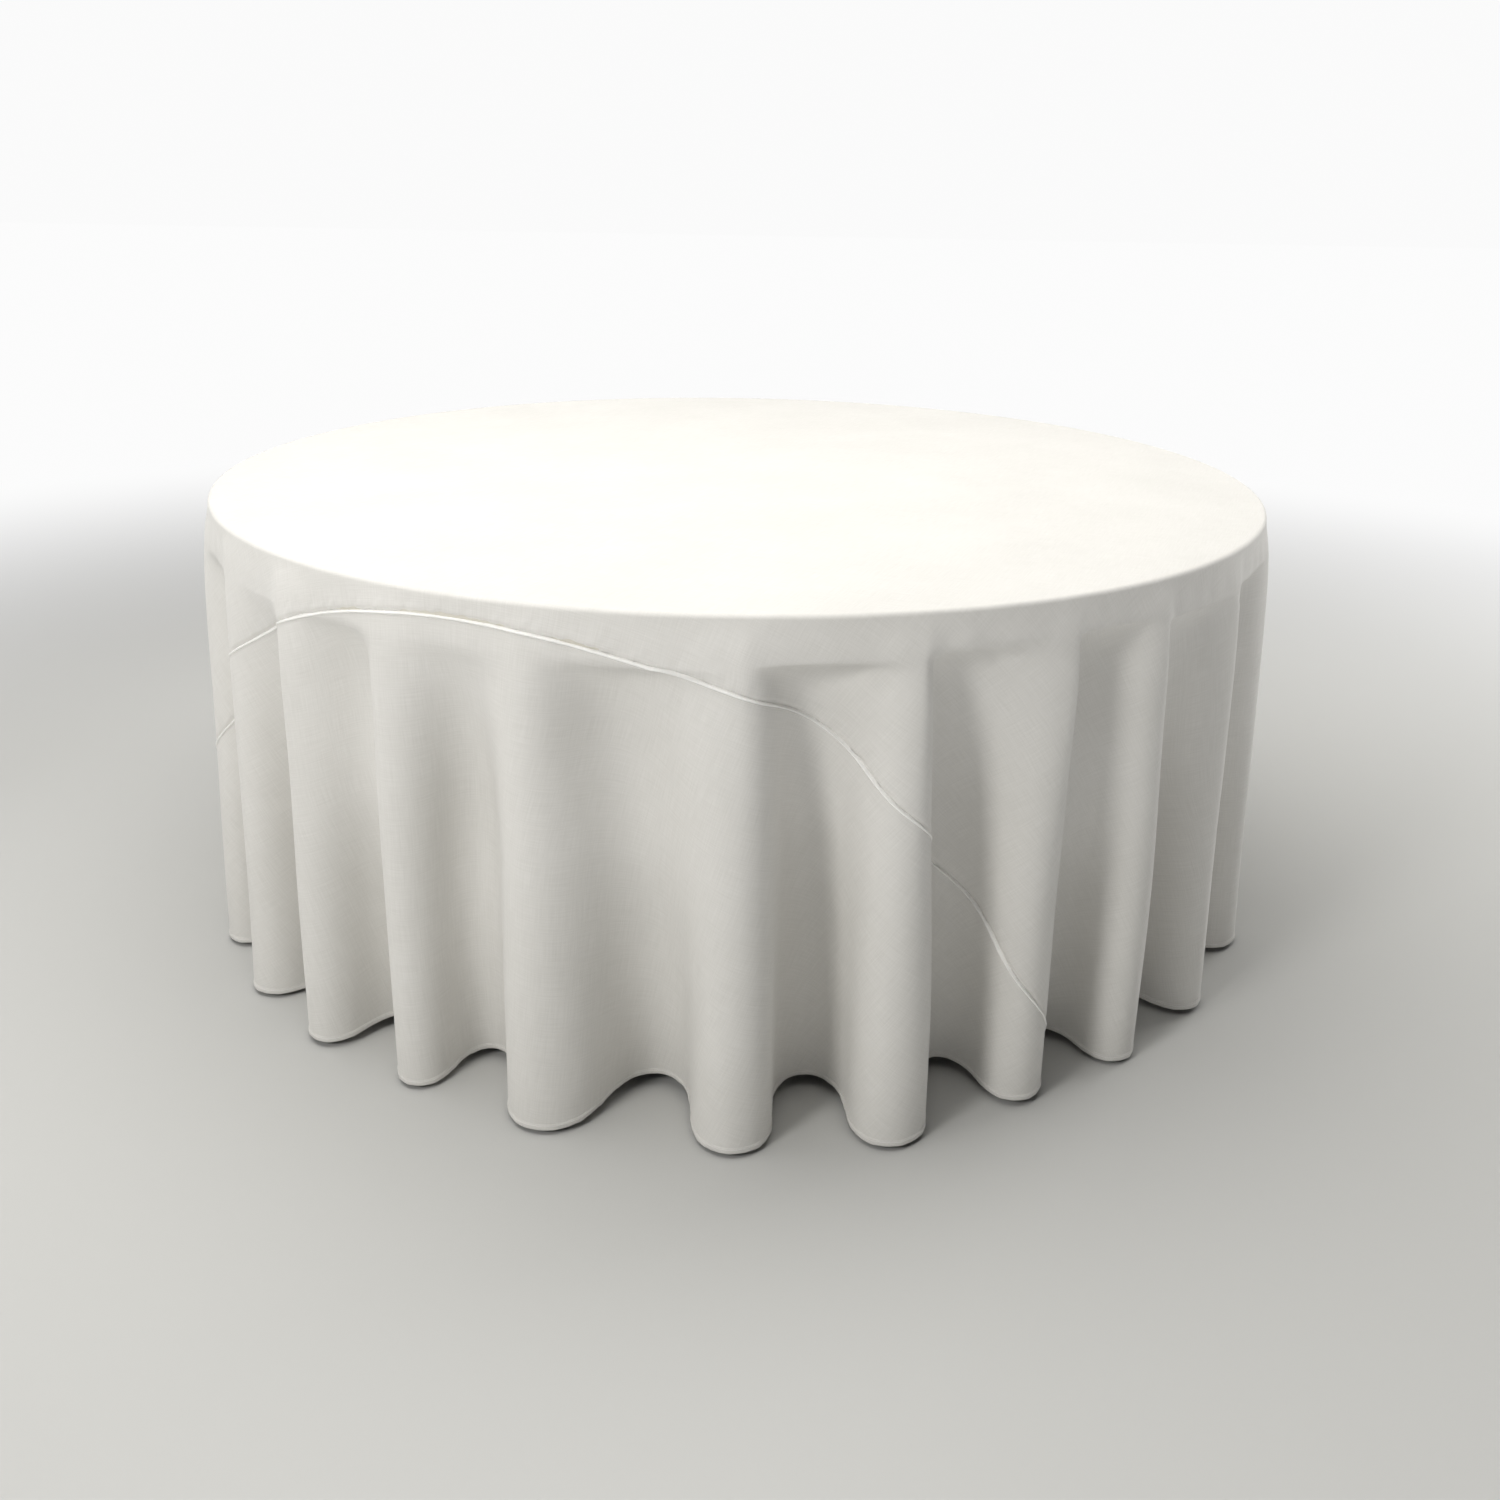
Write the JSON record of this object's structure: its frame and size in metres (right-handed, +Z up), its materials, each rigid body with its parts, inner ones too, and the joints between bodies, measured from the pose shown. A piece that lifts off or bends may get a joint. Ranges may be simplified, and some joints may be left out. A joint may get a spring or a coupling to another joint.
{
  "type": "round tablecloth on a folding banquet table",
  "caption": "Round white cloth sewn from two panels, draped to the floor in deep folds over a round folding banquet table with hinged leg frames and braces.",
  "frame": {"origin": "on the floor, under the middle of the table", "axes": "+Z up; -Y towards the front, the side with the seam of the smaller panel a little to the left; the leg frames hinge about Y and stand at +X (wide) and -X (narrow)"},
  "size_m": [1.8599, 1.872, 0.763],
  "materials": {
    "cloth": "matte plain weave",
    "moulded_top": "fine pebbled grain",
    "coated_steel": "satin powder coat",
    "zinc": "zinc plated",
    "foot_plastic": "smooth"
  },
  "bodies": {
    "table": {"main_panel": "cloth", "side_panel": "cloth", "main_hem": "cloth", "side_hem": "cloth", "table_top": "moulded_top", "leg_clips": "moulded_top", "screws": "zinc", "brace_mount": "coated_steel", "wide_left_hinge_saddle": "coated_steel", "wide_right_hinge_saddle": "coated_steel", "wide_brace_pin": "zinc", "narrow_left_hinge_saddle": "coated_steel", "narrow_right_hinge_saddle": "coated_steel", "narrow_brace_pin": "zinc"},
    "wide_leg_frame": {"wide_hinge_tube": "coated_steel", "wide_left_leg": "coated_steel", "wide_right_leg": "coated_steel", "wide_crossbar": "coated_steel", "wide_foot_caps": "foot_plastic", "wide_brace_collars": "foot_plastic"},
    "wide_lower_brace": {"wide_lower_link_left": "coated_steel", "wide_lower_link_right": "coated_steel", "wide_knee_rivet": "zinc"},
    "wide_upper_brace": {"wide_upper_link": "coated_steel"},
    "narrow_leg_frame": {"narrow_hinge_tube": "coated_steel", "narrow_left_leg": "coated_steel", "narrow_right_leg": "coated_steel", "narrow_crossbar": "coated_steel", "narrow_foot_caps": "foot_plastic", "narrow_brace_collars": "foot_plastic"},
    "narrow_lower_brace": {"narrow_lower_link_left": "coated_steel", "narrow_lower_link_right": "coated_steel", "narrow_knee_rivet": "zinc"},
    "narrow_upper_brace": {"narrow_upper_link": "coated_steel"}
  },
  "joints": [
    {"name": "wide_leg_fold", "type": "hinge", "parent": "table", "child": "wide_leg_frame", "pos_m": [0.56, 0, 0.698], "axis": [0, 1, 0], "range_deg": [0, 93.28]},
    {"name": "wide_upper_brace_fold", "type": "hinge", "parent": "table", "child": "wide_upper_brace", "pos_m": [0.1, 0, 0.72], "axis": [0, -1, 0], "range_deg": [0, 36.28]},
    {"name": "wide_lower_brace_fold", "type": "hinge", "parent": "wide_leg_frame", "child": "wide_lower_brace", "pos_m": [0.57888, 0, 0.36854], "axis": [0, 1, 0], "range_deg": [0, 45.02]},
    {"name": "narrow_leg_fold", "type": "hinge", "parent": "table", "child": "narrow_leg_frame", "pos_m": [-0.56, 0, 0.698], "axis": [0, -1, 0], "range_deg": [0, 93.28]},
    {"name": "narrow_upper_brace_fold", "type": "hinge", "parent": "table", "child": "narrow_upper_brace", "pos_m": [-0.1, 0, 0.72], "axis": [0, 1, 0], "range_deg": [0, 36.28]},
    {"name": "narrow_lower_brace_fold", "type": "hinge", "parent": "narrow_leg_frame", "child": "narrow_lower_brace", "pos_m": [-0.57888, 0, 0.36854], "axis": [0, -1, 0], "range_deg": [0, 45.02]}
  ],
  "couplings": [
    {"joint": "wide_upper_brace_fold", "follows": "wide_leg_fold", "ratio": 0.38889},
    {"joint": "wide_lower_brace_fold", "follows": "wide_leg_fold", "ratio": 0.48258},
    {"joint": "narrow_upper_brace_fold", "follows": "narrow_leg_fold", "ratio": 0.38889},
    {"joint": "narrow_lower_brace_fold", "follows": "narrow_leg_fold", "ratio": 0.48258}
  ]
}
